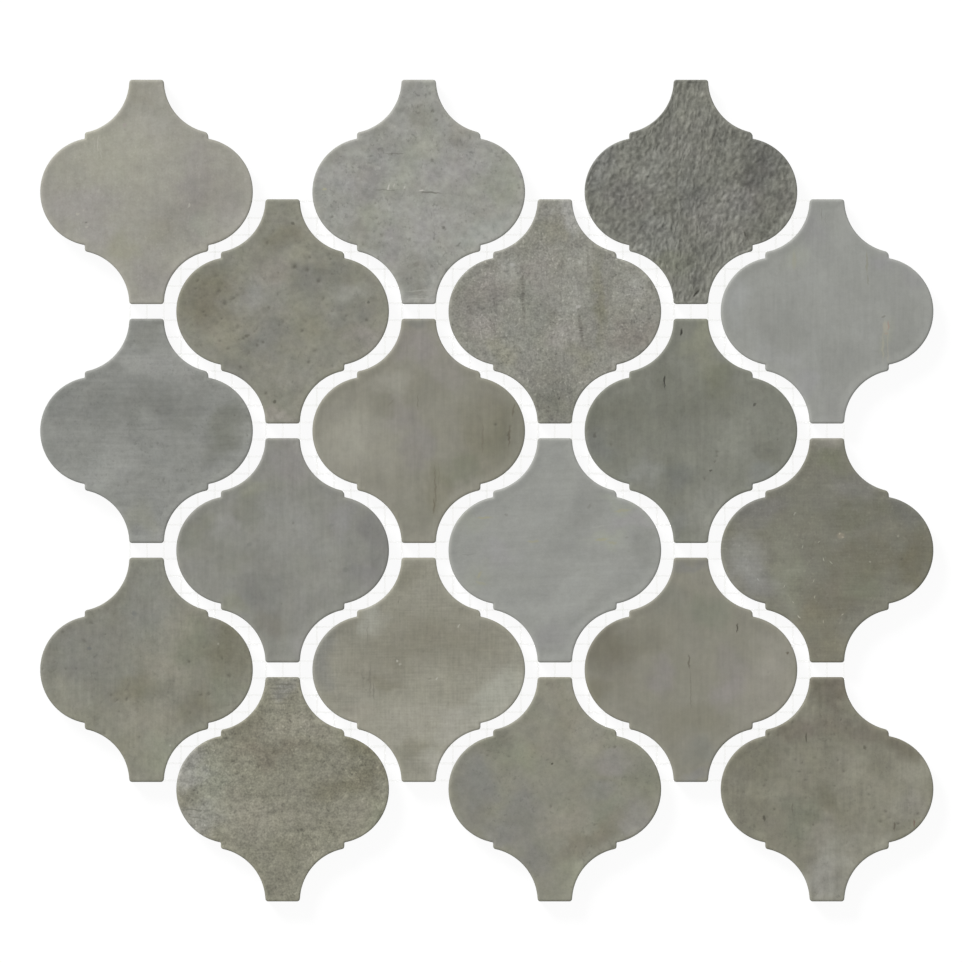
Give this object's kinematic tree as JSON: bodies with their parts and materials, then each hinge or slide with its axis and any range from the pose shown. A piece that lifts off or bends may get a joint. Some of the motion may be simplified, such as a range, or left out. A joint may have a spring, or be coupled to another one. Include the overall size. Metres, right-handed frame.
{
  "type": "arabesque mosaic tile sheet",
  "caption": "Sheet of interlocking lantern-shaped ceramic chips with a cement look, held at even joints by a glass backing net, for tiling walls.",
  "frame": {"origin": "middle of the sheet, on the underside of the backing net", "axes": "+X across the columns of chips, +Y along the chips from neck to neck, +Z out of their faces"},
  "size_m": [0.2604, 0.2396, 0.0069],
  "materials": {
    "ceramic_a1": "matt, cement-look print",
    "ceramic_a2": "matt, cement-look print",
    "ceramic_a3": "matt, cement-look print",
    "ceramic_b1": "matt, cement-look print",
    "ceramic_b2": "matt, cement-look print",
    "ceramic_b3": "matt, rough speckled concrete",
    "ceramic_c1": "matt, cement-look print",
    "ceramic_c2": "matt, cement-look print",
    "ceramic_c3": "matt, cement-look print",
    "ceramic_d1": "matt, sandy concrete grain",
    "ceramic_d2": "matt, cement-look print",
    "ceramic_d3": "matt, cement-look print",
    "ceramic_e1": "matt, hammered stone relief",
    "ceramic_e2": "matt, cement-look print",
    "ceramic_e3": "matt, cement-look print",
    "ceramic_f1": "matt, cement-look print",
    "ceramic_f2": "matt, cement-look print",
    "ceramic_f3": "matt, cement-look print",
    "glass_net": "white coated glass yarn"
  },
  "bodies": {
    "root": {"lantern_chip_a1": "ceramic_a1", "lantern_chip_a2": "ceramic_a2", "lantern_chip_a3": "ceramic_a3", "lantern_chip_b1": "ceramic_b1", "lantern_chip_b2": "ceramic_b2", "lantern_chip_b3": "ceramic_b3", "lantern_chip_c1": "ceramic_c1", "lantern_chip_c2": "ceramic_c2", "lantern_chip_c3": "ceramic_c3", "lantern_chip_d1": "ceramic_d1", "lantern_chip_d2": "ceramic_d2", "lantern_chip_d3": "ceramic_d3", "lantern_chip_e1": "ceramic_e1", "lantern_chip_e2": "ceramic_e2", "lantern_chip_e3": "ceramic_e3", "lantern_chip_f1": "ceramic_f1", "lantern_chip_f2": "ceramic_f2", "lantern_chip_f3": "ceramic_f3", "backing_net": "glass_net"}
  },
  "joints": []
}
